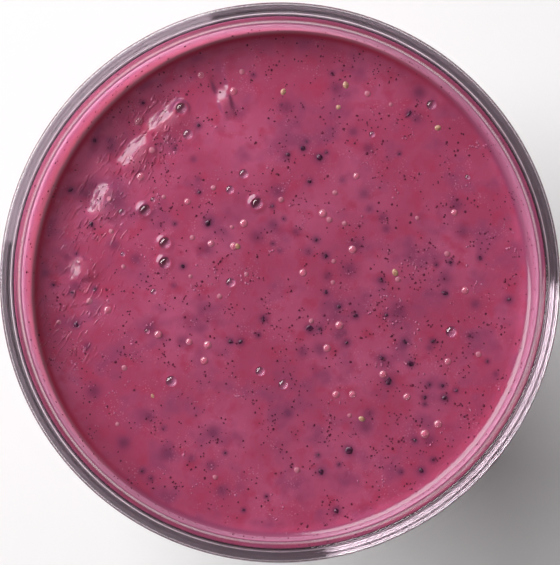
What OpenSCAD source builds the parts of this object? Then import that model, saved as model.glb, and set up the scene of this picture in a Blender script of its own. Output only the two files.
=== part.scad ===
// Berry smoothie in a plain, round tumbler of clear pressed glass.
// Millimetres, +Z up. The origin is the middle of the ring that the glass stands on.

/* [Glass] */
// Height of the glass, from the table to the top of its rim
glass_h = 118; // [90:1:160]
// Diameter across the outside of the rim
rim_d = 84; // [74:1:100]
// Diameter across the outside of the wall, carried down to the table
base_d = 66; // [56:1:72]
// Thickness of the wall at the rim
rim_wall = 2.2; // [1.6:0.1:3]
// Thickness of the wall where it meets the inside floor
floor_wall = 3; // [2.2:0.1:4.5]
// Radius of the rounding at each edge of the rim, which is flat between them
rim_edge_r = 0.4; // [0.2:0.1:0.7]
// Thickness of the base in the middle of the inside floor
base_t = 13; // [6:0.5:16]
// Radius of the rounding between the outside wall and the ring it stands on
base_edge_r = 6; // [2:0.5:8]
// Radius of the rounding between the inside wall and the inside floor
floor_edge_r = 8; // [4:0.5:12]
// Width of the flat ring that the glass stands on
stand_w = 3; // [2:0.5:5]
// Height of the shallow hollow under the base
punt_h = 1.6; // [1:0.1:3]

/* [Smoothie] */
// Distance from the top of the rim down to the flat surface of the drink
fill_gap = 12; // [10:0.5:40]
// Height of the film that clings to the wall above that surface
cling_h = 5; // [3:0.5:8]
// Thickness of the film at its top edge
film_top_t = 0.2; // [0.1:0.05:0.5]
// Thickness of the film where it runs into the drink
film_foot_t = 0.3; // [0.2:0.1:1]
// Radius of the curve in which the drink climbs to the film
meniscus_r = 3.6; // [2:0.2:5]
// Slope of that curve where it meets the film, in degrees
meniscus_slope = 38; // [20:1:60]

/* [Hidden] */

$fn = 120;
arc_steps = 12;   // straight steps in each rounded corner
punt_steps = 16;  // straight steps across the hollow under the base

rim_r = rim_d / 2;
base_r = base_d / 2;
level_z = glass_h - fill_gap;        // flat surface of the drink
cling_z = level_z + cling_h;         // top edge of the film
meniscus_z = level_z + meniscus_r * (1 - cos(meniscus_slope));  // where it meets the film

glass_colour = [0.86, 0.90, 0.91, 0.35];
smoothie_colour = "#a8476b";

// Direction of v, with length 1
function unit(v) = v / norm(v);

// Point p turned about the origin by an angle, anticlockwise
function turned(p, angle) = [
    p.x * cos(angle) - p.y * sin(angle),
    p.x * sin(angle) + p.y * cos(angle)
];

// Points of the arc of radius r that rounds the corner b on the way from a to c
function rounded(a, b, c, r) =
    let (
        u = unit(a - b),
        v = unit(c - b),
        half = acos(u * v) / 2,
        centre = b + unit(u + v) * r / sin(half),
        start = b + u * r / tan(half) - centre,
        turn = sign(cross(v, u)) * (180 - 2 * half)
    )
    [for (i = [0 : arc_steps]) centre + turned(start, turn * i / arc_steps)];

// Radius of the outside of the wall at height z
function outer_r(z) = base_r + (rim_r - base_r) * z / glass_h;

floor_r = outer_r(base_t) - floor_wall;  // inside wall, carried down to the floor

// Radius of the inside of the wall at height z
function inner_r(z) =
    floor_r + (rim_r - rim_wall - floor_r) * (z - base_t) / (glass_h - base_t);

// Corners of the wall's outline: [radius, height]
outer_foot = [base_r, 0];
outer_rim = [rim_r, glass_h];
inner_rim = [rim_r - rim_wall, glass_h];
inner_foot = [floor_r, base_t];
floor_centre = [0, base_t];

base_edge = rounded([0, 0], outer_foot, outer_rim, base_edge_r);
rim_edge = concat(
    rounded(outer_foot, outer_rim, inner_rim, rim_edge_r),
    rounded(outer_rim, inner_rim, inner_foot, rim_edge_r)
);

// Rounding of the inside floor, from the wall to the floor's flat middle
floor_edge = rounded(inner_rim, inner_foot, floor_centre, floor_edge_r);

// Outline of the shallow hollow, from the axis out to the ring that the glass stands on
punt_r = base_edge[0].x - stand_w;
punt_sphere_r = (punt_r * punt_r + punt_h * punt_h) / (2 * punt_h);
punt = [
    for (i = [0 : punt_steps])
        let (r = punt_r * i / punt_steps)
        [r, punt_h - punt_sphere_r + sqrt(punt_sphere_r * punt_sphere_r - r * r)]
];

// Curve in which the drink climbs, from the film down to the flat surface
meniscus_axis = inner_r(meniscus_z) - film_foot_t - meniscus_r * sin(meniscus_slope);
meniscus = [
    for (i = [arc_steps : -1 : 0])
        let (slope = meniscus_slope * i / arc_steps)
        [meniscus_axis + meniscus_r * sin(slope), level_z + meniscus_r * (1 - cos(slope))]
];

// Outline of the drink's top, from the wall at the film's top edge in to the axis
film_top = [
    [inner_r(cling_z), cling_z],
    [inner_r(cling_z) - film_top_t, cling_z]
];
drink_top = concat(film_top, meniscus, [[0, level_z]]);

function reversed(list) = [for (i = [len(list) - 1 : -1 : 0]) list[i]];

// Tumbler: one turned solid with a flat, round-edged rim, a thick base and a hollow under it
module glass() {
    color(glass_colour)
        rotate_extrude()
            polygon(concat(punt, base_edge, rim_edge, floor_edge, [floor_centre]));
}

// Drink: fills the tumbler, climbs the wall in a meniscus and ends in a thin film
module smoothie() {
    color(smoothie_colour)
        rotate_extrude()
            polygon(concat([floor_centre], reversed(floor_edge), drink_top));
}

glass();
smoothie();
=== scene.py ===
import math
import random
import bmesh
import bpy
import numpy as np
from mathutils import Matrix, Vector, geometry, noise


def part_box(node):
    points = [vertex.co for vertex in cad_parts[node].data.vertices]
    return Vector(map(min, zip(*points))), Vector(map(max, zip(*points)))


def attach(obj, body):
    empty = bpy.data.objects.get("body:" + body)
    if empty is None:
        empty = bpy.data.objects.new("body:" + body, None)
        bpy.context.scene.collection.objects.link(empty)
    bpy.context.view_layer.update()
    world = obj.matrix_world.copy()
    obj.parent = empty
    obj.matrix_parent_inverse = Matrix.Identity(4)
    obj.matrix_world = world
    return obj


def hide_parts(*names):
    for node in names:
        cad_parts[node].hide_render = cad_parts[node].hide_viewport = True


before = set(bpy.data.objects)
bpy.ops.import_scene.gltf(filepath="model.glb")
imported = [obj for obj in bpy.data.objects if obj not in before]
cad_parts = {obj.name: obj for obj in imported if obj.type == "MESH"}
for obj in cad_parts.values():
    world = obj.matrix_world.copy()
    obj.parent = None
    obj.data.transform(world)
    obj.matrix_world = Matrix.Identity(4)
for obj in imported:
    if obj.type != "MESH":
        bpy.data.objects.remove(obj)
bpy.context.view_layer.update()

# ---- Camera -------------------------------------------------------------------------------
# It hangs straight above the middle of the glass and looks down its axis. The rim nearly
# fills the view from top to bottom.

MM = 0.001
_, glass_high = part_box("glass")
camera_above_rim = 800 * MM
rim_share_of_view = 0.9925
sensor_width = 36
nearest_seen = 10 * MM

camera_data = bpy.data.cameras.new("camera")
camera_data.sensor_width = sensor_width
camera_data.lens = sensor_width / 2 * camera_above_rim * rim_share_of_view / glass_high.x
camera_data.clip_start = nearest_seen
camera = bpy.data.objects.new("camera", camera_data)
camera.location = (0, 0, glass_high.z + camera_above_rim)
bpy.context.scene.collection.objects.link(camera)
bpy.context.scene.camera = camera

# ---- Tumbler ------------------------------------------------------------------------------
# The glass is pressed soda-lime glass: one turned shape with a slow taper, a fire-polished
# rim, a thick base and a shallow hollow under it. Pressing and polishing leave faint rings
# in its wall and its rim, about a hundredth of a millimetre deep. Sizes are in millimetres.

rim_r = 42
rim_z = glass_high.z / MM
foot_r = 33
rim_wall = 2.2
floor_wall = 3
rim_edge_r = 0.4
base_t = 13
base_edge_r = 6
floor_edge_r = 8
stand_w = 3
punt_h = 1.6
punt_steps = 16
wall_step = 1.15
rim_step = 0.06
glass_spokes = 300
weld_gap = 0.0001


def add(tree, kind, inputs=(), **settings):
    """Adds a node to a tree, with its settings, and fills or links its inputs."""
    node = tree.nodes.new(kind)
    for name, value in settings.items():
        setattr(node, name, value)
    for key, value in dict(inputs).items():
        if isinstance(value, bpy.types.NodeSocket):
            tree.links.new(value, node.inputs[key])
        else:
            node.inputs[key].default_value = value
    return node


def colour(code):
    """Linear colour of an sRGB hex code."""
    channels = [int(code[i:i + 2], 16) / 255 for i in (1, 3, 5)]
    return [c / 12.92 if c <= 0.04045 else ((c + 0.055) / 1.055) ** 2.4 for c in channels] + [1]


def new_tree(name, sizes):
    """An empty Geometry Nodes tree with named inputs: Geometry, the sizes and Material."""
    tree = bpy.data.node_groups.new(name, "GeometryNodeTree")
    face = tree.interface
    face.new_socket("Geometry", in_out="INPUT", socket_type="NodeSocketGeometry")
    for size, kind in sizes.items():
        face.new_socket(size, in_out="INPUT", socket_type="NodeSocket" + kind)
    face.new_socket("Material", in_out="INPUT", socket_type="NodeSocketMaterial")
    face.new_socket("Geometry", in_out="OUTPUT", socket_type="NodeSocketGeometry")
    return tree, add(tree, "NodeGroupInput").outputs


def close_tree(tree, shape, material):
    """Ends a tree: the copies become real mesh, which is smooth and gets its material."""
    real = add(tree, "GeometryNodeRealizeInstances", {"Geometry": shape})
    smooth = add(tree, "GeometryNodeSetShadeSmooth", {"Geometry": real.outputs[0]})
    done = add(tree, "GeometryNodeSetMaterial", {"Geometry": smooth.outputs[0], "Material": material})
    add(tree, "NodeGroupOutput", {"Geometry": done.outputs[0]})


def run_tree(name, start_mesh, tree, values):
    """Runs a tree on a mesh and returns the result as an object with a plain mesh."""
    start = bpy.data.objects.new(name + "_start", start_mesh)
    bpy.context.scene.collection.objects.link(start)
    modifier = start.modifiers.new("tree", "NODES")
    modifier.node_group = tree
    for item in tree.interface.items_tree:
        if item.in_out == "INPUT" and item.name in values:
            modifier[item.identifier] = values[item.name]
    made = start.evaluated_get(bpy.context.evaluated_depsgraph_get())
    piece = bpy.data.objects.new(name, bpy.data.meshes.new_from_object(made))
    start.modifiers.remove(modifier)
    bpy.data.objects.remove(start)
    bpy.context.scene.collection.objects.link(piece)
    return piece


def rounded(before, corner, after, radius, steps=12):
    """Points of the arc that rounds a corner of an outline."""
    before, corner, after = (np.array(point, float) for point in (before, corner, after))
    back = (before - corner) / np.linalg.norm(before - corner)
    ahead = (after - corner) / np.linalg.norm(after - corner)
    half = math.acos(back @ ahead) / 2
    middle = corner + (back + ahead) / np.linalg.norm(back + ahead) * radius / math.sin(half)
    spoke = corner + back * radius / math.tan(half) - middle
    side = np.array((-spoke[1], spoke[0]))
    turn = math.copysign(math.pi - 2 * half, ahead[0] * back[1] - ahead[1] * back[0])
    return [
        tuple(middle + spoke * math.cos(turn * i / steps) + side * math.sin(turn * i / steps))
        for i in range(steps + 1)
    ]


def outer_r(z):
    """Radius of the outside of the wall at height z."""
    return foot_r + (rim_r - foot_r) * z / rim_z


def inner_r(z):
    """Radius of the inside of the wall at height z."""
    floor_r = outer_r(base_t) - floor_wall
    return floor_r + (rim_r - rim_wall - floor_r) * (z - base_t) / (rim_z - base_t)


def finer(points, longest):
    """The same outline with its long stretches cut into steps."""
    fine = []
    for start, end in zip(points, points[1:]):
        steps = max(1, math.ceil(math.dist(start, end) / longest))
        fine += [
            (start[0] + (end[0] - start[0]) * i / steps, start[1] + (end[1] - start[1]) * i / steps)
            for i in range(steps)
        ]
    return fine + [points[-1]]


# Rings in the wall, outside and inside: (radians for each millimetre, share of the depth)
ring_depth = 0.006
ring_fade = 6
outside_waves = ((0.9, 1), (2.1, 0.6), (4.3, 0.35))
inside_waves = ((0.75, 1), (1.7, 0.6), (3.9, 0.35))


def wall_rings(radius, z):
    """How far the wall stands out or in at height z, in rings left by pressing."""
    if z < base_edge_r or radius < inner_r(base_t) - floor_edge_r or z > rim_z - rim_edge_r:
        return 0
    waves = outside_waves if radius > (outer_r(z) + inner_r(z)) / 2 else inside_waves
    fade = min(1, (z - base_edge_r) / ring_fade)
    return ring_depth * fade * sum(share * math.sin(turn * z + turn) for turn, share in waves)


# Rings in the flat top of the rim: (waves from edge to edge, share of the depth, phase)
rim_ring_depth = 0.0045
rim_waves = ((4.4, 0.6, 0), (7.3, 0.4, 1))
rim_tolerance = 0.001


def rim_rings(radius, z):
    """How far the flat top of the rim dips at a radius, in rings left by polishing."""
    if z < rim_z - rim_tolerance:
        return 0
    across = (rim_r - radius) / rim_wall
    dips = 1 + sum(
        share * math.sin(math.tau * across * waves + phase) for waves, share, phase in rim_waves
    )
    return rim_ring_depth * dips * math.sin(math.pi * across)


floor_corner = (inner_r(base_t), base_t)
floor_edge = rounded((inner_r(rim_z), rim_z), floor_corner, (0, base_t), floor_edge_r)
foot_edge = rounded((0, 0), (foot_r, 0), (rim_r, rim_z), base_edge_r)
punt_r = foot_edge[0][0] - stand_w
punt_ball_r = (punt_r**2 + punt_h**2) / (2 * punt_h)
punt_radii = [punt_r * i / punt_steps for i in range(punt_steps + 1)]
punt = [(r, punt_h - punt_ball_r + math.sqrt(punt_ball_r**2 - r**2)) for r in punt_radii]
outer_edge = rounded((foot_r, 0), (rim_r, rim_z), (rim_r - rim_wall, rim_z), rim_edge_r)
inner_edge = rounded((rim_r, rim_z), (rim_r - rim_wall, rim_z), floor_corner, rim_edge_r)
rim_top = finer([outer_edge[-1], inner_edge[0]], rim_step)[1:-1]
outline = punt + foot_edge + outer_edge + rim_top + inner_edge + floor_edge + [(0, base_t)]
outline = [
    (radius + wall_rings(radius, z), z - rim_rings(radius, z))
    for radius, z in finer(outline, wall_step)
]
outline_mesh = bpy.data.meshes.new("tumbler_outline")
outline_mesh.from_pydata(
    [(radius * MM, 0, z * MM) for radius, z in outline],
    [(i, i + 1) for i in range(len(outline) - 1)],
    [],
)

# The turning tree lays a grid of outline points by spokes, bends it round the axis and
# welds its seam and its two poles.
turning, given = new_tree("turning", {"Spokes": "Int"})
count = add(turning, "GeometryNodeAttributeDomainSize", {"Geometry": given["Geometry"]})
columns = add(turning, "ShaderNodeMath", {0: given["Spokes"], 1: 1}, operation="ADD")
grid = add(
    turning, "GeometryNodeMeshGrid",
    {"Vertices X": count.outputs["Point Count"], "Vertices Y": columns.outputs[0]},
)
index = add(turning, "GeometryNodeInputIndex")
row = add(turning, "ShaderNodeMath", {0: index.outputs[0], 1: columns.outputs[0]}, operation="DIVIDE")
row_number = add(turning, "ShaderNodeMath", {0: row.outputs[0]}, operation="FLOOR")
spoke = add(turning, "ShaderNodeMath", {0: index.outputs[0], 1: columns.outputs[0]}, operation="MODULO")
part = add(turning, "ShaderNodeMath", {0: spoke.outputs[0], 1: given["Spokes"]}, operation="DIVIDE")
angle = add(turning, "ShaderNodeMath", {0: part.outputs[0], 1: math.tau}, operation="MULTIPLY")
position = add(turning, "GeometryNodeInputPosition")
sample = add(
    turning, "GeometryNodeSampleIndex",
    {"Geometry": given["Geometry"], "Value": position.outputs[0], "Index": row_number.outputs[0]},
    data_type="FLOAT_VECTOR",
)
axis_turn = add(
    turning, "ShaderNodeVectorRotate",
    {"Vector": sample.outputs[0], "Axis": (0, 0, 1), "Angle": angle.outputs[0]},
)
bent = add(
    turning, "GeometryNodeSetPosition",
    {"Geometry": grid.outputs["Mesh"], "Position": axis_turn.outputs[0]},
)
welded = add(
    turning, "GeometryNodeMergeByDistance",
    {"Geometry": bent.outputs[0], "Distance": weld_gap * MM},
)
outward = add(turning, "GeometryNodeFlipFaces", {"Mesh": welded.outputs[0]})
close_tree(turning, outward.outputs[0], given["Material"])

# Clear soda-lime glass, pressed and fire-polished: no colour of its own, a hard clean
# gloss, and a wall that leads light down to the base, so its edge looks grey and streaked.
clear_glass = bpy.data.materials.new("pressed soda-lime glass")
clear_glass.use_nodes = True
shader = clear_glass.node_tree.nodes["Principled BSDF"]
shader.inputs["Base Color"].default_value = colour("#ffffff")
shader.inputs["Roughness"].default_value = 0
shader.inputs["IOR"].default_value = 1.5
shader.inputs["Transmission Weight"].default_value = 1

tumbler = run_tree(
    "tumbler", outline_mesh, turning, {"Spokes": glass_spokes, "Material": clear_glass},
)
tumbler.visible_shadow = False  # clear glass lets the light through to the drink and the paper
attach(tumbler, "root")
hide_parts("glass")

# ---- Smoothie -----------------------------------------------------------------------------
# A thick blended drink of berries and yoghurt, poured into the tumbler. It climbs the wall
# in a curve that ends in a thin film, and pouring leaves ripples, folds and bubbles in its
# top. Its mesh reaches just into the wall. Sizes are in millimetres.

_, drink_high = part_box("smoothie")
film_z = drink_high.z / MM
drink_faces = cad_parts["smoothie"].data.polygons
level_z = min(face.center.z for face in drink_faces if face.normal.z > 0.9999) / MM
climb_r = 3.6
climb_slope = math.radians(38)
climb_top = climb_r * (1 - math.cos(climb_slope))
film_t = 0.15
film_steps = 10
into_wall = 0.15
wall_foot_z = 22  # just above the rounding of the inside floor
wall_steps = 8
drink_spokes = 720
top_step = 0.34
row_share = 0.866  # of a step, between the rows of a three-way grid
grid_reach = 36.6
grid_gap = 0.25
top_r = 38
top_depth = 2  # nothing on the drink's top lies this far under its level

# Direction that the light comes from, in degrees, and the source of all random draws
lit_from = 140
chance = random.Random(7)


def smooth_step(low, high, value):
    """0 below low, 1 above high and a smooth rise between them."""
    share = np.clip((value - low) / (high - low), 0, 1)
    return share * share * (3 - 2 * share)


# Where the foot of the film is thick: (direction and spread in degrees, extra thickness)
film_lumps = ((15, 35, 0.65), (150, 60, 1.3))


def film_foot(turn):
    """Distance from the wall to where the film meets the drink."""
    thick = film_t + 0.08 * noise.noise(Vector((2 * math.cos(turn), 2 * math.sin(turn), 4)))
    for middle, spread_angle, extra in film_lumps:
        away = math.remainder(turn - math.radians(middle), math.tau) / math.radians(spread_angle)
        thick += extra * math.exp(-(away**2))
    return thick


def climb_edge(turn):
    """Radius at which the drink's curve meets the film."""
    return inner_r(level_z + climb_top) - film_foot(turn)


# Bubbles: (x, y, radius, lip). The open ones are dark and deep, and the drink climbs to
# their lip. The closed ones, (x, y, radius), are pale bulges just under the surface. A lip
# reaches out to lip_reach times its bubble's radius, and a bulge's height and a bowl's depth
# are shares of that radius.
lip_reach = 1.9
bulge_share = 0.27
bowl_share = 0.45
pale_count = 60
pale_reach = 35
dark_bubbles = [
    (-15, 26.5, 0.82, 0.44), (-14, 22.5, 0.74, 0.1), (-20.5, 11, 0.85, 0.5),
    (-19.3, 12.6, 0.38, 0.1), (-17.5, 6, 0.85, 0.36), (-17.5, 3, 0.85, 0.42),
    (-3.5, 12, 0.85, 0.48), (-7.5, 0, 0.7, 0.06), (26, -7.5, 0.8, 0.08),
    (-16.5, -15, 0.8, 0.12), (-3, -13.5, 0.7, 0.1), (0.5, -15.5, 0.7, 0.06),
    (23, 27, 0.72, 0.1), (-5.5, 16.5, 0.7, 0.06), (-24, 10.7, 0.5, 0.08),
    (-23.9, 4.3, 0.36, 0.05), (-7.6, 14.1, 0.62, 0.05), (-19.2, -1.4, 0.45, 0.06),
    (-20.2, -7.4, 0.4, 0.06), (14, 22.5, 0.45, 0.05), (28.5, 16, 0.4, 0.05),
]
pale_bubbles = [
    (6.5, 10.5, 0.6), (7.5, 9.5, 0.45), (-5.5, 9, 0.6), (-7, 5.5, 0.57), (11, 5, 0.6),
    (3.5, 1.5, 0.55), (-11, -9.5, 0.6), (9, -6.5, 0.6), (25.5, -12, 0.52), (24, -21.5, 0.6),
    (22, -23, 0.65), (11, -17, 0.52), (8.5, -17, 0.55), (-21.5, 24.5, 0.6), (-12, 31.5, 0.5),
    (-18.5, -7.9, 0.58), (-13.8, -9, 0.5), (-13.3, 6.8, 0.4),
]


def apart(x, y, radius, others):
    """Whether a new bubble or bit stays clear of the others."""
    return all(math.dist((x, y), other[:2]) > lip_reach * (radius + other[2]) for other in others)


def random_place(farthest):
    """A random place on the drink's top, up to a distance from its middle."""
    reach = farthest * math.sqrt(chance.random())
    turn = math.tau * chance.random()
    return reach * math.cos(turn), reach * math.sin(turn)


while len(pale_bubbles) < pale_count:
    x, y = random_place(pale_reach)
    radius = chance.uniform(0.3, 0.58)
    if apart(x, y, radius, dark_bubbles + pale_bubbles):
        pale_bubbles.append((x, y, radius))

# Ripples: (length, height, layer of the noise). They die down between the two calm radii.
ripple_sizes = ((11, 0.06, 0), (3.4, 0.025, 5), (1.2, 0.008, 9))
calm_from = 34
calm_to = 36.5

# Folds: (direction, distance of the front from the middle, half length, drop). Each is a
# slope that faces the wall. The drink stands high inside it and low outside it, and comes
# back to its level within fold_reach.
fold_width = 1.9
fold_reach = 5
pouring_folds = [
    (125, 31, 4.6, 1), (138, 30.2, 4.2, 1.02), (155, 30.4, 3.8, 1), (107, 30, 1.4, 0.95),
    (176, 31.2, 2.4, 0.95),
]


def relief(x, y):
    """Height of the drink's calm top over its level: ripples and folds, fading at the edge."""
    reach = math.hypot(x, y)
    calm = float(smooth_step(calm_to, calm_from, reach))
    ripples = sum(
        height * noise.noise(Vector((x / length, y / length, layer)))
        for length, height, layer in ripple_sizes
    )
    folds = 0
    for middle_turn, front, half_length, drop in pouring_folds:
        along = math.remainder(math.atan2(y, x) - math.radians(middle_turn), math.tau) * front
        wander = 0.6 * noise.noise(Vector((along / 3, front, 2)))
        wander += 0.15 * noise.noise(Vector((along / 0.8, front + reach / 0.8, 3)))
        behind = front + wander - reach
        if abs(along) < half_length and abs(behind) < fold_reach:
            end = float(smooth_step(half_length, 0.4 * half_length, abs(along)))
            tilt = min(0.5, max(-0.5, behind / fold_width))
            folds += drop * end * tilt * float(smooth_step(fold_reach, fold_width / 2, abs(behind)))
    return calm * (ripples + folds)


def bubble_height(x, y, radius, lip):
    """Height at a place in or round a bubble, whose lip is highest on its upper left."""
    share = math.hypot(x, y) / radius
    if lip == 0:
        return bulge_share * radius * max(0, 1 - share**2) ** 0.7
    lip *= 0.3 + 0.7 * max(0, math.cos(math.atan2(y, x) - math.radians(lit_from)))
    if share < 1:
        return lip - (bowl_share * radius + lip) * (1 - share**2) ** 0.65
    return lip * max(0, (lip_reach - share) / (lip_reach - 1)) ** 1.1


bubbles = dark_bubbles + [(x, y, radius, 0) for x, y, radius in pale_bubbles]
bubble_places = np.array(bubbles)


def climb_height(x, y):
    """Height of the curve in which the drink climbs to the film, at a place."""
    inward = climb_edge(math.atan2(y, x)) - math.hypot(x, y)
    slope = max(0, math.sin(climb_slope) - inward / climb_r)
    return climb_r * (1 - math.sqrt(max(0, 1 - slope**2)))


def top_height(x, y):
    """Height of the drink's top at a place, with its bubbles and its climb to the wall."""
    distance = np.hypot(bubble_places[:, 0] - x, bubble_places[:, 1] - y) / bubble_places[:, 2]
    nearest = int(np.argmin(distance))
    share = float(distance[nearest])
    height = relief(x, y)
    if share < lip_reach:
        bx, by, radius, lip = bubbles[nearest]
        blend = float(smooth_step(lip_reach, 1.0, share))
        height = height * (1 - blend) + relief(bx, by) * blend
        height += bubble_height(x - bx, y - by, radius, lip)
    return level_z + height + climb_height(x, y)


# The top's points: rings along the wall, at steps from the film's foot, finer rings round
# each bubble, at shares of its radius, and a three-way grid over the rest. A Delaunay net
# joins them.
turns = [math.tau * i / drink_spokes for i in range(drink_spokes)]
places = []
ring_steps = (0, 0.12, 0.25, 0.4, 0.56, 0.74, 0.94, 1.16, 1.4, 1.66, 1.96)
for step in ring_steps:
    for turn in turns:
        reach = climb_edge(turn) - step
        places.append((reach * math.cos(turn), reach * math.sin(turn)))
open_rings = (0.2, 0.4, 0.6, 0.78, 0.9, 0.97, 1.03, 1.12, 1.22, 1.36, 1.55, 1.8)
closed_rings = (0.3, 0.55, 0.75, 0.9, 0.98, 1.08, 1.3, 1.6)
open_spokes = 32
closed_spokes = 22
for x, y, radius, lip in bubbles:
    spokes = open_spokes if lip else closed_spokes
    places.append((x, y))
    for share in open_rings if lip else closed_rings:
        for i in range(spokes):
            turn = math.tau * (i + share) / spokes
            places.append((x + share * radius * math.cos(turn), y + share * radius * math.sin(turn)))
rows = int(top_r / (top_step * row_share)) + 1
for row_index in range(-rows, rows + 1):
    for column in range(-rows, rows + 1):
        x = (column + 0.5 * (row_index % 2)) * top_step
        y = row_index * top_step * row_share
        last_ring_reach = climb_edge(math.atan2(y, x)) - ring_steps[-1]
        if math.hypot(x, y) > min(grid_reach, last_ring_reach - grid_gap):
            continue
        clear = np.hypot(bubble_places[:, 0] - x, bubble_places[:, 1] - y) / bubble_places[:, 2]
        if clear.min() > lip_reach:
            places.append((x, y))

edge_loop = [(i, (i + 1) % drink_spokes) for i in range(drink_spokes)]
keep_inside = 1
closeness = 1e-6
net = geometry.delaunay_2d_cdt(
    [Vector(place) for place in places], edge_loop, [], keep_inside, closeness,
)
points = [(p.x, p.y, top_height(p.x, p.y)) for p in net[0]]
faces = [tuple(face) for face in net[2]]
origin_of = {source: new for new, sources in enumerate(net[3]) for source in sources}
last_ring = [origin_of[i] for i in range(drink_spokes)]
top_count = len(faces)


def stitch(old_ring, ring):
    """Adds a ring of points and the faces between it and the one before it."""
    new_ring = list(range(len(points), len(points) + drink_spokes))
    points.extend(ring)
    for i in range(drink_spokes):
        j = (i + 1) % drink_spokes
        faces.append((old_ring[i], old_ring[j], new_ring[j], new_ring[i]))
    return new_ring


film_foot_z = level_z + climb_top


# The torn top edge of the film lies this far under its highest point, and wanders this much.
torn_drop = 0.15
torn_wander = 0.35


def film_place(turn, share):
    """A point of the film's face, share being 0 at its foot and 1 at its torn top edge."""
    wander = noise.noise(Vector((3 * math.cos(turn), 3 * math.sin(turn), 1)))
    film_top = film_z - torn_drop - torn_wander * (1 + wander)
    z = film_foot_z + (film_top - film_foot_z) * share
    thick = film_t + (film_foot(turn) - film_t) * (1 - share) ** 3
    thick += 0.02 * noise.noise(Vector((40 * math.cos(turn), 40 * math.sin(turn), z)))
    reach = inner_r(z) - thick
    return reach * math.cos(turn), reach * math.sin(turn), z


for step in range(1, film_steps + 1):
    last_ring = stitch(last_ring, [film_place(turn, step / film_steps) for turn in turns])
film_count = len(faces)
ring = []
for turn in turns:
    film_top = film_place(turn, 1)[2]
    reach = inner_r(film_top) + into_wall
    ring.append((reach * math.cos(turn), reach * math.sin(turn), film_top))
last_ring = stitch(last_ring, ring)
wall_heights = np.linspace(film_z - 1, wall_foot_z, wall_steps)
wall_outline = [(inner_r(z) + into_wall, z) for z in wall_heights]
wall_outline += [(r + 0.7 * into_wall, z - 0.7 * into_wall) for r, z in floor_edge]
for reach, z in wall_outline:
    ring = [(reach * math.cos(turn), reach * math.sin(turn), z) for turn in turns]
    last_ring = stitch(last_ring, ring)
points.append((0, 0, base_t - into_wall))
for i in range(drink_spokes):
    faces.append((last_ring[i], last_ring[(i + 1) % drink_spokes], len(points) - 1))

drink_mesh = bpy.data.meshes.new("drink")
drink_mesh.from_pydata([(x * MM, y * MM, z * MM) for x, y, z in points], [], faces)
outward = bmesh.new()
outward.from_mesh(drink_mesh)
bmesh.ops.recalc_face_normals(outward, faces=outward.faces)
outward.to_mesh(drink_mesh)
outward.free()
drink_mesh.shade_smooth()
drink = bpy.data.objects.new("drink", drink_mesh)
bpy.context.scene.collection.objects.link(drink)

# Larger bits of dark berry skin: (x, y, radius). Some show, the rest are only blurred
# purple patches because they lie under the surface.
bits_reach = 36
skin_count = 75
sunk_count = 60
skin_bits = [
    (16.5, -15, 0.7), (25, -17.5, 0.6), (10.5, -25.5, 0.6), (6, 19, 0.6), (-11, 9, 0.6),
    (19, -9, 0.5), (15.5, -11.5, 0.45), (20.5, -24, 0.35), (22, -17.5, 0.3), (22, -18.5, 0.28),
    (-2.5, -5.5, 0.5), (4.5, -7, 0.5), (-6, -9, 0.42), (-7.5, -9, 0.3), (11.5, -5, 0.42),
    (5.5, 6.5, 0.4), (7, 4, 0.36), (7, -1.5, 0.28),
]
sunk_bits = [
    (-3.5, 7, 1.1), (10.5, 2, 1.2), (9, -8, 1), (3.5, -10.5, 0.9), (-11, 5, 1), (13.5, -20, 0.9),
]
while len(skin_bits) < skin_count:
    x, y = random_place(bits_reach)
    radius = 0.2 + 0.3 * chance.random() ** 2
    if apart(x, y, radius, bubbles):
        skin_bits.append((x, y, radius))
while len(sunk_bits) < sunk_count:
    sunk_bits.append((*random_place(bits_reach), chance.uniform(0.5, 1.3)))


def spread(spots, grow=1, blur=0):
    """How strongly each point of the drink's mesh lies in the blur round a list of spots."""
    ground = np.array([point[:2] for point in points])
    total = np.zeros(len(points))
    for x, y, radius in spots:
        distance = np.hypot(ground[:, 0] - x, ground[:, 1] - y)
        total = np.maximum(total, np.exp(-((distance / (grow * radius + blur)) ** 2)))
    return total


def mark(mesh, name, values):
    """Stores one number for each point of a mesh, for its material to read."""
    attribute = mesh.attributes.new(name, "FLOAT", "POINT")
    attribute.data.foreach_set("value", np.asarray(values, np.float32))


# Skin under the surface shows as a blur. The inside of each dark bubble is tinted plum as painted
# shade, and the inside of each pale bubble is paler.
heights = np.array([point[2] for point in points])
on_top = heights > level_z - top_depth
skin_blur = np.maximum(0.8 * spread(skin_bits, grow=1.1, blur=0.25), 0.6 * spread(sunk_bits))
mark(drink_mesh, "skin_blur", on_top * skin_blur)
inside_dark = spread([(x, y, 0.98 * radius) for x, y, radius, lip in dark_bubbles])
inside_pale = spread([(x, y, 0.98 * radius) for x, y, radius in pale_bubbles])
mark(drink_mesh, "shaded_dull_bowl", on_top * smooth_step(0.3, 0.45, inside_dark))
mark(drink_mesh, "pale_bowl", on_top * smooth_step(0.3, 0.45, inside_pale))
mark(drink_mesh, "wall", 1 - on_top)

# Fine wrinkles gather where the drink was poured: (x, y, radius).
wrinkled_areas = [
    (-30, 8, 5), (-32, -2, 5), (-20, 24, 4.5), (-24, 18.5, 4), (-28, 13, 4), (-33, -9, 4),
]
mark(drink_mesh, "wrinkles", on_top * (0.04 + 0.96 * spread(wrinkled_areas)))
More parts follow.
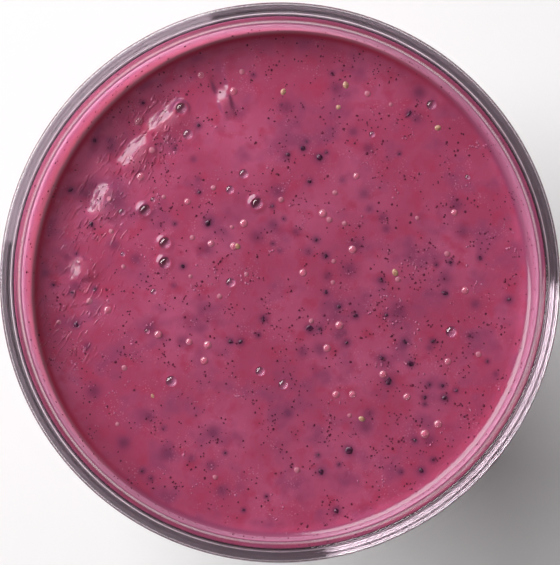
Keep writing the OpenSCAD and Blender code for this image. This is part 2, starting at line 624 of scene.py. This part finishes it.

# Steep flanks are darker: painted shade. Where the drink climbs to the wall on the side towards the
# window it is redder, a painted glow and shade, and the foot of the film there has a painted glow for
# light that comes through the glass.
climbs = np.array([climb_height(x, y) if z > level_z - top_depth else 0 for x, y, z in points])
backlit = np.array([math.cos(math.atan2(y, x) - math.radians(lit_from)) for x, y, z in points])
level_share = np.array([vertex.normal.z for vertex in drink_mesh.vertices])
mark(drink_mesh, "steep_shade", on_top * smooth_step(0.96, 0.86, level_share))
mark(drink_mesh, "red_glow_shade", smooth_step(0.05, 0.4, climbs) * smooth_step(-0.5, 0.5, backlit))
on_film = smooth_step(level_z + 0.35, film_foot_z + 0.2, heights)
mark(drink_mesh, "film", on_film)
low_film = on_film * smooth_step(film_foot_z + 2, film_foot_z + 0.4, heights)
mark(drink_mesh, "backlit_film", low_film * smooth_step(-0.2, 0.6, backlit))


def pitch(size):
    """Texture scale that gives marks of about this many millimetres."""
    return 1 / (size * MM)


def noise_field(tree, place, size, low, high, detail=2):
    """A soft random field, 0 below low and 1 above high, with marks of a size in mm."""
    field = add(tree, "ShaderNodeTexNoise", {"Vector": place, "Scale": pitch(size), "Detail": detail})
    return add(
        tree, "ShaderNodeMapRange",
        {"Value": field.outputs["Fac"], "From Min": low, "From Max": high},
    ).outputs[0]


def layered(tree, shade, layers):
    """A colour with others laid over it in turn, each by its own share."""
    for share, code in layers:
        mixed = add(
            tree, "ShaderNodeMix", {0: share, 6: shade, 7: colour(code)},
            data_type="RGBA", blend_type="MIX",
        )
        shade = mixed.outputs[2]
    return shade


def smoothie_colour(tree):
    """The drink's colour: milky berry pink, clouded, with purple juice, froth and skin, and painted
    shade and glow on its slopes, its edge, its film and in its bubble bowls.
    """
    place = add(tree, "ShaderNodeTexCoord").outputs["Object"]
    clouds = noise_field(tree, place, size=9, low=0.38, high=0.66)
    juice = noise_field(tree, place, size=4.5, low=0.5, high=0.72)
    rosy = noise_field(tree, place, size=2.2, low=0.5, high=0.75)
    froth_area = noise_field(tree, place, size=3, low=0.52, high=0.7)
    froth_grain = add(
        tree, "ShaderNodeTexVoronoi", {"Vector": place, "Scale": pitch(0.42)}, feature="F1",
    )
    froth_dot = add(
        tree, "ShaderNodeMapRange",
        {"Value": froth_grain.outputs["Distance"], "From Min": 0.34, "From Max": 0.2},
    )
    froth = add(
        tree, "ShaderNodeMath", {0: froth_area, 1: froth_dot.outputs[0]}, operation="MULTIPLY",
    )
    strength = 0.3
    froth_share = add(
        tree, "ShaderNodeMath", {0: froth.outputs[0], 1: strength}, operation="MULTIPLY",
    )
    marks = {
        name: add(tree, "ShaderNodeAttribute", attribute_name=name).outputs["Fac"]
        for name in (
            "skin_blur", "steep_shade", "red_glow_shade", "film", "backlit_film", "wall", "shaded_dull_bowl", "pale_bowl",
        )
    }
    wall_specks = add(
        tree, "ShaderNodeTexVoronoi", {"Vector": place, "Scale": pitch(1.6)}, feature="F1",
    )
    wall_speck = add(
        tree, "ShaderNodeMapRange",
        {
            "Value": wall_specks.outputs["Distance"],
            "From Min": 0.17,
            "From Max": 0.11,
            "To Max": marks["wall"],
        },
    )
    return layered(tree, colour("#9e4160"), [
        (clouds, "#ad5172"),
        (rosy, "#a13a58"),
        (juice, "#8b3f60"),
        (froth_share.outputs[0], "#cf86a0"),
        (marks["skin_blur"], "#58294a"),
        # painted shade on steep flanks
        (marks["steep_shade"], "#883f60"),
        # painted red glow and shade where the drink climbs the wall towards the window
        (marks["red_glow_shade"], "#a02a46"),
        (marks["film"], "#9a5c76"),
        # painted glow of light through the foot of the film
        (marks["backlit_film"], "#cb8c9e"),
        (wall_speck.outputs[0], "#4a1c36"),
        # painted shade in the bowls of the dark bubbles
        (marks["shaded_dull_bowl"], "#8c4a68"),
        (marks["pale_bowl"], "#ae667a"),
    ])


# Thick berry smoothie: an opaque, milky pink emulsion with a wet gloss, which is duller in
# the bowls of the bubbles. Light goes a little way into it, which softens its edges.
smoothie = bpy.data.materials.new("blended berry smoothie")
smoothie.use_nodes = True
tree = smoothie.node_tree
shader = tree.nodes["Principled BSDF"]
tree.links.new(smoothie_colour(tree), shader.inputs["Base Color"])
bowl = add(tree, "ShaderNodeAttribute", attribute_name="shaded_dull_bowl").outputs["Fac"]
dulled = add(tree, "ShaderNodeMapRange", {"Value": bowl, "To Min": 0.1, "To Max": 0.5})
tree.links.new(dulled.outputs[0], shader.inputs["Roughness"])
shader.inputs["IOR"].default_value = 1.44
shader.inputs["Subsurface Weight"].default_value = 0.4
shader.inputs["Subsurface Radius"].default_value = (1, 0.3, 0.35)
shader.inputs["Subsurface Scale"].default_value = 1.5 * MM
place = add(tree, "ShaderNodeTexCoord").outputs["Object"]
grain = add(tree, "ShaderNodeTexNoise", {"Vector": place, "Scale": pitch(0.5), "Detail": 2})
bump = add(
    tree, "ShaderNodeBump",
    {"Height": grain.outputs["Fac"], "Strength": 0.35, "Distance": 0.03 * MM},
)
wrinkle_turn = math.radians(60)
wrinkle_stretch = 3
lie = add(
    tree, "ShaderNodeMapping",
    {"Vector": place, "Rotation": (0, 0, wrinkle_turn), "Scale": (wrinkle_stretch, 1, 1)},
    vector_type="TEXTURE",
)
wrinkle = noise_field(tree, lie.outputs[0], size=0.5, low=0.57, high=0.7, detail=1)
wrinkled = add(tree, "ShaderNodeAttribute", attribute_name="wrinkles")
wrinkle_height = add(
    tree, "ShaderNodeMath", {0: wrinkle, 1: wrinkled.outputs["Fac"]}, operation="MULTIPLY",
)
wrinkle_bump = add(
    tree, "ShaderNodeBump",
    {
        "Height": wrinkle_height.outputs[0],
        "Strength": 1,
        "Distance": 0.2 * MM,
        "Normal": bump.outputs[0],
    },
)
tree.links.new(wrinkle_bump.outputs[0], shader.inputs["Normal"])
drink_mesh.materials.append(smoothie)

# The film on the wall is so thin that light from behind shines through it, and it is
# less glossy than the drink.
thin_film = smoothie.copy()
thin_film.name = "berry smoothie film"
shader = thin_film.node_tree.nodes["Principled BSDF"]
shader.inputs["Specular IOR Level"].default_value = 0.15
shader.inputs["Subsurface Weight"].default_value = 1
shader.inputs["Subsurface Radius"].default_value = (1, 0.8, 0.9)
shader.inputs["Subsurface Scale"].default_value = 4.5 * MM
drink_mesh.materials.append(thin_film)

# The same drink where it wets the glass. Glass bends light more than the drink does, so
# light that runs down the wall is mirrored at this face, as the Fresnel index of 0.907,
# which is 1.36 over 1.5, makes it. The mirror is a little dull and plum from the drink.
wetted = bpy.data.materials.new("blended berry smoothie on glass")
wetted.use_nodes = True
tree = wetted.node_tree
shader = tree.nodes["Principled BSDF"]
# The drink's colour is darkened where it wets the glass: painted shade.
shaded_wet_colour = layered(tree, smoothie_colour(tree), [(0.35, "#6e2a48")])
tree.links.new(shaded_wet_colour, shader.inputs["Base Color"])
shader.inputs["Roughness"].default_value = 0.5
shader.inputs["Specular IOR Level"].default_value = 0
mirror = add(tree, "ShaderNodeBsdfAnisotropic", {"Roughness": 0, "Color": colour("#cbc0c7")})
turned_back = add(tree, "ShaderNodeFresnel", {"IOR": 0.907})
both = add(
    tree, "ShaderNodeMixShader",
    {0: turned_back.outputs[0], 1: shader.outputs[0], 2: mirror.outputs[0]},
)
tree.links.new(both.outputs[0], tree.nodes["Material Output"].inputs["Surface"])
drink_mesh.materials.append(wetted)
drink_mesh.polygons.foreach_set(
    "material_index",
    [int(number >= top_count) + int(number >= film_count) for number in range(len(faces))],
)

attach(drink, "root")
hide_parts("smoothie")

# ---- Bubble films -------------------------------------------------------------------------
# Each dark bubble, and each pale one of some size, is closed by a thin wet film of drink that
# bulges over it. The films are one joined mesh: a domed shell copied onto each bubble.

# The strewing tree copies a chip onto each spot at the spot's own size, stretches and turns
# each copy at random, and roughens it with lumps about 0.3 mm across.
strewing, given = new_tree(
    "strewing", {"Chip": "Object", "Stretch": "Float", "Roughening": "Float", "Seed": "Int"},
)
chip = add(strewing, "GeometryNodeObjectInfo", {"Object": given["Chip"]})
size = add(strewing, "GeometryNodeInputNamedAttribute", {"Name": "size"}, data_type="FLOAT")
stretch_low = add(strewing, "ShaderNodeMath", {0: 1, 1: given["Stretch"]}, operation="SUBTRACT")
stretch_high = add(strewing, "ShaderNodeMath", {0: 1, 1: given["Stretch"]}, operation="ADD")
stretch = add(
    strewing, "FunctionNodeRandomValue",
    {"Min": stretch_low.outputs[0], "Max": stretch_high.outputs[0], "Seed": given["Seed"]},
    data_type="FLOAT_VECTOR",
)
scale = add(
    strewing, "ShaderNodeVectorMath",
    {0: stretch.outputs["Value"], "Scale": size.outputs["Attribute"]}, operation="SCALE",
)
spin = add(
    strewing, "FunctionNodeRandomValue",
    {"Min": (0, 0, 0), "Max": (0, 0, math.tau), "Seed": given["Seed"]},
    data_type="FLOAT_VECTOR",
)
copies = add(
    strewing, "GeometryNodeInstanceOnPoints",
    {
        "Points": given["Geometry"],
        "Instance": chip.outputs["Geometry"],
        "Rotation": spin.outputs["Value"],
        "Scale": scale.outputs[0],
    },
)
made_real = add(strewing, "GeometryNodeRealizeInstances", {"Geometry": copies.outputs[0]})
lumps = add(strewing, "ShaderNodeTexNoise", {"Scale": pitch(0.3), "Detail": 1})
centred = add(
    strewing, "ShaderNodeVectorMath", {0: lumps.outputs["Color"], 1: (0.5, 0.5, 0.5)},
    operation="SUBTRACT",
)
push = add(
    strewing, "ShaderNodeVectorMath", {0: centred.outputs[0], "Scale": given["Roughening"]},
    operation="SCALE",
)
roughened = add(
    strewing, "GeometryNodeSetPosition",
    {"Geometry": made_real.outputs[0], "Offset": push.outputs[0]},
)
close_tree(strewing, roughened.outputs[0], given["Material"])


def chip_object(name, points, faces):
    """A small shape, one millimetre in radius, that the strewing tree copies."""
    mesh = bpy.data.meshes.new(name)
    mesh.from_pydata([(x * MM, y * MM, z * MM) for x, y, z in points], [], faces)
    return bpy.data.objects.new(name, mesh)


def strew(name, spots, chip, material, stretch=0, roughening=0, seed=1):
    """Copies a chip onto spots of (x, y, z, size in millimetres), as one joined mesh."""
    mesh = bpy.data.meshes.new(name + "_spots")
    mesh.from_pydata([(x * MM, y * MM, z * MM) for x, y, z, size in spots], [], [])
    mark(mesh, "size", [spot[3] for spot in spots])
    values = {
        "Chip": chip, "Stretch": stretch, "Roughening": roughening * MM, "Seed": seed,
        "Material": material,
    }
    piece = run_tree(name, mesh, strewing, values)
    bpy.data.objects.remove(chip)
    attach(piece, "root")
    return piece


def dome(spokes, steps, ball_r, thickness):
    """A domed shell over a circle of radius 1: points and faces, closed at its foot."""
    dome_points, dome_faces = [], []
    foot = math.asin(1 / ball_r)
    for side, radius in enumerate((ball_r, ball_r - thickness)):
        first = len(dome_points)
        for step in range(steps):
            lean = foot * (1 - step / steps)
            for i in range(spokes):
                turn = math.tau * i / spokes
                dome_points.append((
                    radius * math.sin(lean) * math.cos(turn),
                    radius * math.sin(lean) * math.sin(turn),
                    radius * math.cos(lean) - ball_r * math.cos(foot),
                ))
        dome_points.append((0, 0, radius - ball_r * math.cos(foot)))
        top = len(dome_points) - 1
        for step in range(steps):
            for i in range(spokes):
                j = (i + 1) % spokes
                low = first + step * spokes
                if step < steps - 1:
                    face = (low + i, low + j, low + spokes + j, low + spokes + i)
                else:
                    face = (low + i, low + j, top)
                dome_faces.append(face[::-1] if side else face)
    inner_first = steps * spokes + 1
    for i in range(spokes):
        j = (i + 1) % spokes
        dome_faces.append((j, i, inner_first + i, inner_first + j))
    return dome_points, dome_faces


# Bubble film: thin, wet and almost clear, with a sharp bright gloss.
bubble_film = bpy.data.materials.new("wet bubble film")
bubble_film.use_nodes = True
shader = bubble_film.node_tree.nodes["Principled BSDF"]
shader.inputs["Base Color"].default_value = colour("#f2dde6")
shader.inputs["Roughness"].default_value = 0.02
shader.inputs["IOR"].default_value = 1.5
shader.inputs["Transmission Weight"].default_value = 1

smallest_domed = 0.48
film_share = 0.97  # of a bubble's radius
film_sink = 0.02
film_spots = [
    (x, y, level_z + relief(x, y) + 0.3 * lip - film_sink, film_share * radius)
    for x, y, radius, lip in bubbles
    if lip or radius > smallest_domed
]
dome_chip = chip_object("dome", *dome(spokes=24, steps=7, ball_r=1.34, thickness=0.05))
bubble_films = strew("bubble_films", film_spots, dome_chip, bubble_film)
bubble_films.visible_shadow = False  # a film this thin lets the light through to its bowl

# ---- Skin flecks --------------------------------------------------------------------------
# Shreds of dark berry skin that the blender leaves. They are wet and float half sunk: flecks
# that show their shape, and fine specks in clusters, some of them caught in the film.


def ball(rounds, spokes, flat):
    """A flattened ball of radius 1: points and faces."""
    ball_points, ball_faces = [(0, 0, flat)], []
    for ring in range(1, rounds):
        lean = math.pi * ring / rounds
        for i in range(spokes):
            turn = math.tau * i / spokes
            ball_points.append((
                math.sin(lean) * math.cos(turn),
                math.sin(lean) * math.sin(turn),
                flat * math.cos(lean),
            ))
    ball_points.append((0, 0, -flat))
    last = len(ball_points) - 1
    for i in range(spokes):
        j = (i + 1) % spokes
        ball_faces.append((0, 1 + i, 1 + j))
        for ring in range(rounds - 2):
            low = 1 + ring * spokes
            ball_faces.append((low + i, low + spokes + i, low + spokes + j, low + j))
        low = 1 + (rounds - 2) * spokes
        ball_faces.append((last, low + j, low + i))
    return ball_points, ball_faces


def skin_material(name, dark, light, roughness, gloss):
    """A material for shreds of berry skin, clouded between a dark and a light colour."""
    material = bpy.data.materials.new(name)
    material.use_nodes = True
    tree = material.node_tree
    place = add(tree, "ShaderNodeTexCoord").outputs["Object"]
    bloom = noise_field(tree, place, size=0.25, low=0.4, high=0.7)
    shader = tree.nodes["Principled BSDF"]
    tree.links.new(layered(tree, colour(dark), [(bloom, light)]), shader.inputs["Base Color"])
    shader.inputs["Roughness"].default_value = roughness
    shader.inputs["IOR"].default_value = 1.45
    shader.inputs["Specular IOR Level"].default_value = gloss
    return material


# Blueberry and blackcurrant skin: nearly black purple, wet and waxy. The fine specks are
# thinner shreds, so they look redder and duller.
berry_skin = skin_material("wet dark berry skin", "#34122a", "#5f2444", roughness=0.25, gloss=0.5)
fine_skin = skin_material("fine berry skin", "#561530", "#7a2847", roughness=0.6, gloss=0.2)

fleck_sink = 0.1
fleck_share = 0.85  # of the radius of its blur
fleck_spots = [
    (x, y, top_height(x, y) - fleck_sink * radius, fleck_share * radius)
    for x, y, radius in skin_bits
]
fleck_chip = chip_object("fleck", *ball(rounds=8, spokes=14, flat=0.35))
flecks = strew(
    "skin_flecks", fleck_spots, fleck_chip, berry_skin, stretch=0.5, roughening=0.35, seed=3,
)

top_speck_count = 2000
film_speck_count = 180
speck_reach = 37.5
cluster_spread = 0.7
cluster_sizes = (1, 1, 2, 3, 4, 6)
speck_spots = []
while len(speck_spots) < top_speck_count:
    middle = random_place(speck_reach)
    for member in range(chance.choice(cluster_sizes)):
        x = middle[0] + chance.gauss(0, cluster_spread)
        y = middle[1] + chance.gauss(0, cluster_spread)
        size = 0.09 + 0.1 * chance.random() ** 2
        if math.hypot(x, y) < top_r and apart(x, y, 0, bubbles):
            speck_spots.append((x, y, top_height(x, y), size))
while len(speck_spots) < top_speck_count + film_speck_count:
    turn, share = math.tau * chance.random(), chance.uniform(0.03, 0.5)
    speck_spots.append((*film_place(turn, share), 0.09 + 0.08 * chance.random() ** 2))
speck_chip = chip_object("speck", *ball(rounds=4, spokes=6, flat=0.6))
specks = strew("skin_specks", speck_spots, speck_chip, fine_skin, stretch=0.35, seed=5)

# ---- Seeds --------------------------------------------------------------------------------
# A few raspberry and strawberry seeds that the blender leaves whole. They are hard and tan,
# with a fine net of ridges, and float just proud of the drink.

# Seed coat: pale tan, a little glossy, with a darker net that breaks up its flat colour.
seed_coat = bpy.data.materials.new("tan berry seed coat")
seed_coat.use_nodes = True
tree = seed_coat.node_tree
shader = tree.nodes["Principled BSDF"]
place = add(tree, "ShaderNodeTexCoord").outputs["Object"]
netting = noise_field(tree, place, size=0.2, low=0.4, high=0.65)
coat_colour = layered(tree, colour("#9c6a58"), [(netting, "#bd947c")])
tree.links.new(coat_colour, shader.inputs["Base Color"])
shader.inputs["Roughness"].default_value = 0.3

# Seeds: (x, y, half length)
seed_count = 8
seed_reach = 35
seed_sink = 0.15
seed_places = [
    (17.5, 1.5, 0.6), (0.5, 29, 0.55), (10, 30, 0.55), (24, 23.5, 0.5), (-6.5, 5.5, 0.5),
]
while len(seed_places) < seed_count:
    x, y = random_place(seed_reach)
    if apart(x, y, 0.5, bubbles):
        seed_places.append((x, y, chance.uniform(0.4, 0.6)))
seed_spots = [(x, y, top_height(x, y) - seed_sink, size) for x, y, size in seed_places]
seed_chip = chip_object("seed", *ball(rounds=10, spokes=16, flat=0.55))
seeds = strew(
    "berry_seeds", seed_spots, seed_chip, seed_coat, stretch=0.2, roughening=0.08, seed=8,
)

# ---- Froth --------------------------------------------------------------------------------
# The smallest bubbles, which blending whips in. They gather in loose curls and patches, and
# each is a tiny wet bead of drink.

# Froth: the drink itself, paler because it is mostly air, with a sharp wet glint.
froth_skin = bpy.data.materials.new("pale smoothie froth")
froth_skin.use_nodes = True
shader = froth_skin.node_tree.nodes["Principled BSDF"]
shader.inputs["Base Color"].default_value = colour("#b25e7f")
shader.inputs["Roughness"].default_value = 0.08
shader.inputs["IOR"].default_value = 1.5

froth_count = 650
froth_reach = 37
curl_sizes = (1, 3, 5, 9, 14)
curl_step = 0.25
curl_turn = 0.25
curl_spread = 0.15
froth_spots = []
while len(froth_spots) < froth_count:
    middle = random_place(froth_reach)
    heading = math.tau * chance.random()
    for member in range(chance.choice(curl_sizes)):
        x = middle[0] + curl_step * member * math.cos(heading) + chance.gauss(0, curl_spread)
        y = middle[1] + curl_step * member * math.sin(heading) + chance.gauss(0, curl_spread)
        heading += curl_turn
        size = 0.07 + 0.12 * chance.random() ** 2
        if math.hypot(x, y) < top_r and apart(x, y, 0, bubbles):
            froth_spots.append((x, y, top_height(x, y), size))
bead_chip = chip_object("bead", *ball(rounds=6, spokes=10, flat=0.6))
froth = strew("froth", froth_spots, bead_chip, froth_skin, stretch=0.15, seed=11)

# ---- Studio -------------------------------------------------------------------------------
# The glass stands on pale paper. A wide, low window lights it from the upper left, and a dim
# card on the other side sends a little of that light back into the glass.

floor_half = 3
floor_mesh = bpy.data.meshes.new("floor")
floor_mesh.from_pydata(
    [
        (-floor_half, -floor_half, 0), (floor_half, -floor_half, 0),
        (floor_half, floor_half, 0), (-floor_half, floor_half, 0),
    ],
    [],
    [(0, 1, 2, 3)],
)
floor = bpy.data.objects.new("floor", floor_mesh)
bpy.context.scene.collection.objects.link(floor)

# Studio paper: near white and dull, so the glass has a clean ground and a soft shadow.
paper = bpy.data.materials.new("pale studio paper")
paper.use_nodes = True
paper.node_tree.nodes["Principled BSDF"].inputs["Base Color"].default_value = colour("#f4f4f4")
paper.node_tree.nodes["Principled BSDF"].inputs["Roughness"].default_value = 0.6
floor_mesh.materials.append(paper)


def softbox(name, azimuth, elevation, distance, width, height, power):
    """A rectangular soft light that faces the rim. Angles are in degrees, sizes in metres."""
    data = bpy.data.lights.new(name, "AREA")
    data.shape = "RECTANGLE"
    data.size = width
    data.size_y = height
    data.energy = power
    light = bpy.data.objects.new(name, data)
    azimuth, elevation = math.radians(azimuth), math.radians(elevation)
    level = math.cos(elevation)
    away = Vector((math.cos(azimuth) * level, math.sin(azimuth) * level, math.sin(elevation)))
    light.location = Vector((0, 0, glass_high.z)) + away * distance
    light.rotation_euler = (-away).to_track_quat("-Z", "Y").to_euler()
    bpy.context.scene.collection.objects.link(light)
    return light


softbox("window", lit_from, elevation=28, distance=1, width=1.55, height=0.58, power=24.2)
card = softbox("bounce_card", 318, elevation=12, distance=1, width=1.3, height=0.25, power=2.2)
card.visible_glossy = False  # it lights the glass but shows in no gloss

# The rest of the room gives a dim, even fill.
world = bpy.data.worlds.new("studio")
bpy.context.scene.world = world
world.use_nodes = True
world.node_tree.nodes["Background"].inputs["Color"].default_value = colour("#ffffff")
world.node_tree.nodes["Background"].inputs["Strength"].default_value = 0.1

# Light crosses many faces of glass and of bubble film on its way, so it needs many bounces.
scene = bpy.context.scene
scene.view_settings.view_transform = "Standard"
scene.cycles.max_bounces = 24
scene.cycles.transmission_bounces = 24
scene.cycles.glossy_bounces = 16
scene.cycles.use_denoising = True
